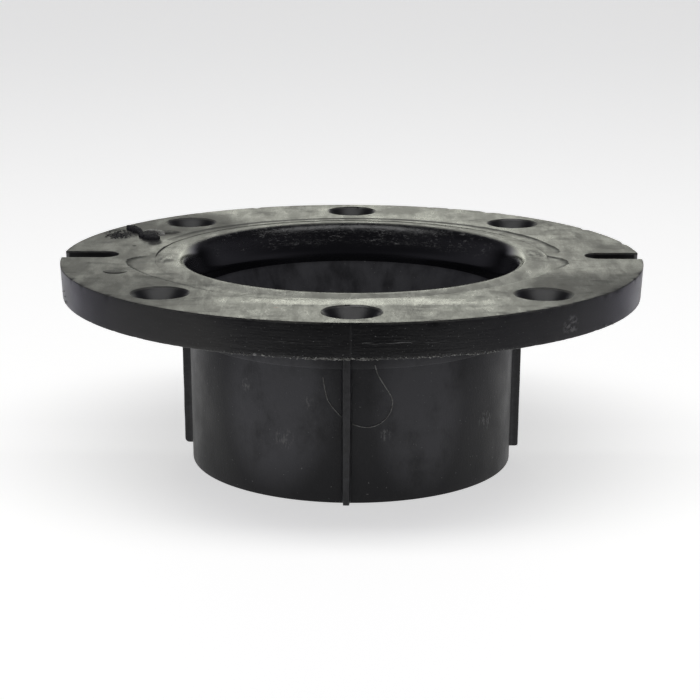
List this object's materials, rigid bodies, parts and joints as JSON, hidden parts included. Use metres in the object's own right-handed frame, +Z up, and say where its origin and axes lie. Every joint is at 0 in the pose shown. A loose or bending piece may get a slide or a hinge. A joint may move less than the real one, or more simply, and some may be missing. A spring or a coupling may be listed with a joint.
{
  "type": "toilet flange",
  "caption": "Round floor flange with a belled mouth on a short ribbed hub that sockets over a drain pipe, with countersunk screw holes and open closet-bolt slots.",
  "frame": {"origin": "centre of the hub's lower end, on the surface that the flange stands on", "axes": "+Z up along the bore towards the toilet, X through the two open closet-bolt slots, -Y towards the front rib"},
  "size_m": [0.1776, 0.1778, 0.0651],
  "materials": {
    "black_plastic": "moulded, satin, lightly scuffed",
    "black_plastic_polished": "moulded against a polished core",
    "black_plastic_torn": "torn and rough"
  },
  "bodies": {
    "root": {"flange_plate": "black_plastic", "mouth_ring": "black_plastic_polished", "hub_collar": "black_plastic", "hub_tube": "black_plastic", "pipe_stop": "black_plastic", "rib_front": "black_plastic", "rib_right": "black_plastic", "rib_back": "black_plastic", "rib_left": "black_plastic", "gate_stub": "black_plastic_torn"}
  },
  "joints": []
}
